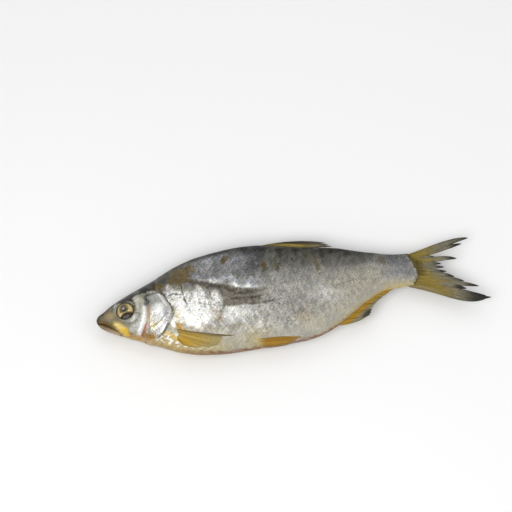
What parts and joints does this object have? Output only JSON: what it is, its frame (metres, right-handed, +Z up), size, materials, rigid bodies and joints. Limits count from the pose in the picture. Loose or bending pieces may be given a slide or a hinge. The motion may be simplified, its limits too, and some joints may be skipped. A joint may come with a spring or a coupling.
{
  "type": "dried roach",
  "caption": "Whole dried salted roach, a cured fish that lies on its side, with scaly skin, folded back fin, paired fins and a forked, ragged tail.",
  "frame": {"origin": "centre of the bounding box in X and Y, at the height of the surface that the fish lies on", "axes": "+X from the snout to the tail, +Y towards the back, +Z up, away from the surface, out of the left flank"},
  "size_m": [0.25, 0.0694, 0.0275],
  "materials": {
    "skin": "silvery grey scales with a dry, oily sheen, dark on the back and pale on the belly",
    "head": "smooth bony plates, silvery white to olive, with a satin sheen",
    "fins": "dry olive gold webs with fine rays and grey black ends",
    "eye": "glossy dried eye with a gold ring round a clouded grey pupil"
  },
  "bodies": {
    "root": {"roach": "skin"}
  },
  "joints": []
}
